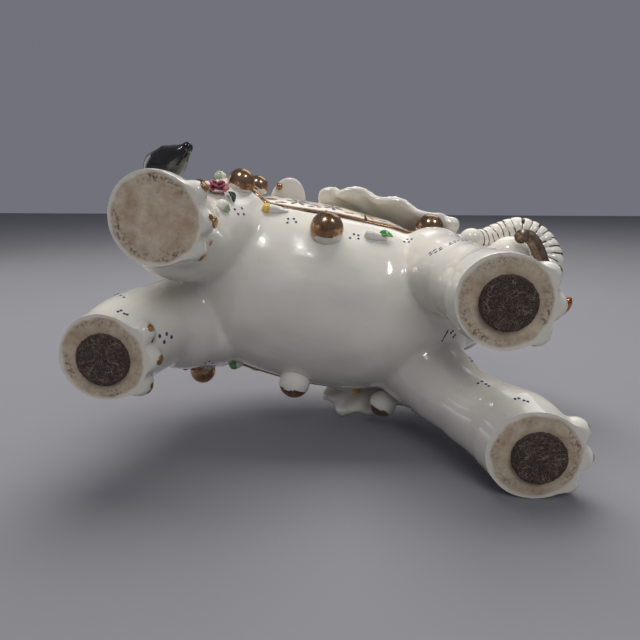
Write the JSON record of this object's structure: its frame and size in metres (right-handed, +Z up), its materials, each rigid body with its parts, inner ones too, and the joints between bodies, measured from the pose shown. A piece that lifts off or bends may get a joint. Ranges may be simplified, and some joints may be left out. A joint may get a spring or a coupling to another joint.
{
  "type": "porcelain elephant figurine",
  "caption": "Glazed porcelain elephant in mid stride, trunk curled to one side, with a saddle blanket, applied beads and flowers, and round felt pads under its feet.",
  "frame": {"origin": "on the ground under the middle of the outline box, at the level of the pads' undersides", "axes": "+X the way the elephant walks, +Y its left side, +Z up"},
  "size_m": [0.26, 0.1414, 0.1674],
  "materials": {
    "glazed_porcelain": "clear glaze over white porcelain, with painted, enamelled and bronze-lustre details",
    "felt": "brown pressed felt"
  },
  "bodies": {
    "root": {"porcelain_elephant": "glazed_porcelain", "felt_pad_front_right": "felt", "felt_pad_front_left": "felt", "felt_pad_hind_left": "felt"}
  },
  "joints": []
}
